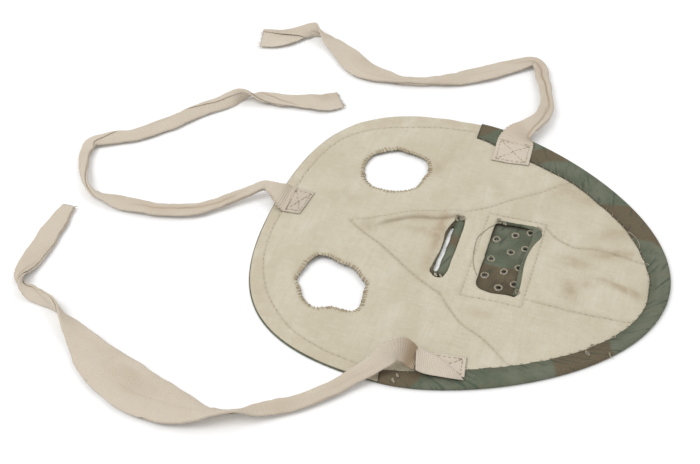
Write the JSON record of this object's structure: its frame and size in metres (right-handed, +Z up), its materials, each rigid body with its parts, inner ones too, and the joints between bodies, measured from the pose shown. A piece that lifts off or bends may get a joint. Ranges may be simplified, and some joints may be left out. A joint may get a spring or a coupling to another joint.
{
  "type": "cloth face veil",
  "caption": "Lined cloth face veil with eye holes, a nose slit, a mouth vent of worked eyelets and cloth ties, lying flat with its lining up.",
  "frame": {"origin": "under the middle of the veil, on the surface that it lies on", "axes": "+X towards the wearer's right-hand cheek on the lining side, +Y towards the forehead, +Z up through the lining towards the wearer's face"},
  "size_m": [0.293, 0.2995, 0.0161],
  "materials": {
    "outer_cloth": "matt printed cotton",
    "lining_cloth": "matt unbleached cotton",
    "hem_cloth": "matt printed cotton",
    "tie_cloth": "matt ribbed cotton tape",
    "thread": "matt cotton thread"
  },
  "bodies": {
    "veil": {"cheek_seam_stitch_left": "thread", "cheek_seam_stitch_right": "thread", "chin_hem": "hem_cloth", "chin_seam_stitch_left": "thread", "chin_seam_stitch_right": "thread", "forehead_edge_stitch": "thread", "hem_slip_stitch": "thread", "left_eye_whip_stitch": "thread", "left_tie_sewn_end": "tie_cloth", "left_tie_turned_end": "tie_cloth", "lining_chin_centre_panel": "lining_cloth", "lining_chin_left_panel": "lining_cloth", "lining_chin_right_panel": "lining_cloth", "lining_nose_gusset": "lining_cloth", "lining_upper_panel": "lining_cloth", "mouth_eyelet_01": "thread", "mouth_eyelet_02": "thread", "mouth_eyelet_03": "thread", "mouth_eyelet_04": "thread", "mouth_eyelet_05": "thread", "mouth_eyelet_06": "thread", "mouth_eyelet_07": "thread", "mouth_eyelet_08": "thread", "mouth_eyelet_09": "thread", "mouth_eyelet_10": "thread", "mouth_eyelet_11": "thread", "mouth_window_flap": "hem_cloth", "mouth_window_stitch": "thread", "nose_seam_stitch_left": "thread", "nose_seam_stitch_right": "thread", "nose_slit_left_bar_tack": "thread", "nose_slit_lower_lip": "hem_cloth", "nose_slit_right_bar_tack": "thread", "nose_slit_upper_lip": "hem_cloth", "outer_chin_centre_panel": "outer_cloth", "outer_chin_left_panel": "outer_cloth", "outer_chin_right_panel": "outer_cloth", "outer_nose_gusset": "outer_cloth", "outer_upper_panel": "outer_cloth", "right_eye_whip_stitch": "thread", "right_tie_box_stitch": "thread", "right_tie_sewn_end": "tie_cloth", "top_tie_box_stitch": "thread", "top_tie_sewn_end": "tie_cloth"},
    "right_tie_strap": {"right_tie": "tie_cloth"},
    "left_tie_strap": {"left_tie": "tie_cloth"},
    "top_tie_strap": {"top_tie": "tie_cloth"}
  },
  "joints": [
    {"name": "right_tie_lift", "type": "hinge", "parent": "veil", "child": "right_tie_strap", "pos_m": [0.0802, -0.0063, 0.0046], "axis": [0, -1, 0], "range_deg": [0, 90]},
    {"name": "left_tie_lift", "type": "hinge", "parent": "veil", "child": "left_tie_strap", "pos_m": [-0.076, 0.0002, 0.005], "axis": [1, 0, 0], "range_deg": [0, 90]},
    {"name": "top_tie_lift", "type": "hinge", "parent": "veil", "child": "top_tie_strap", "pos_m": [0.0024, 0.0892, 0.0046], "axis": [1, 0, 0], "range_deg": [0, 90]}
  ]
}
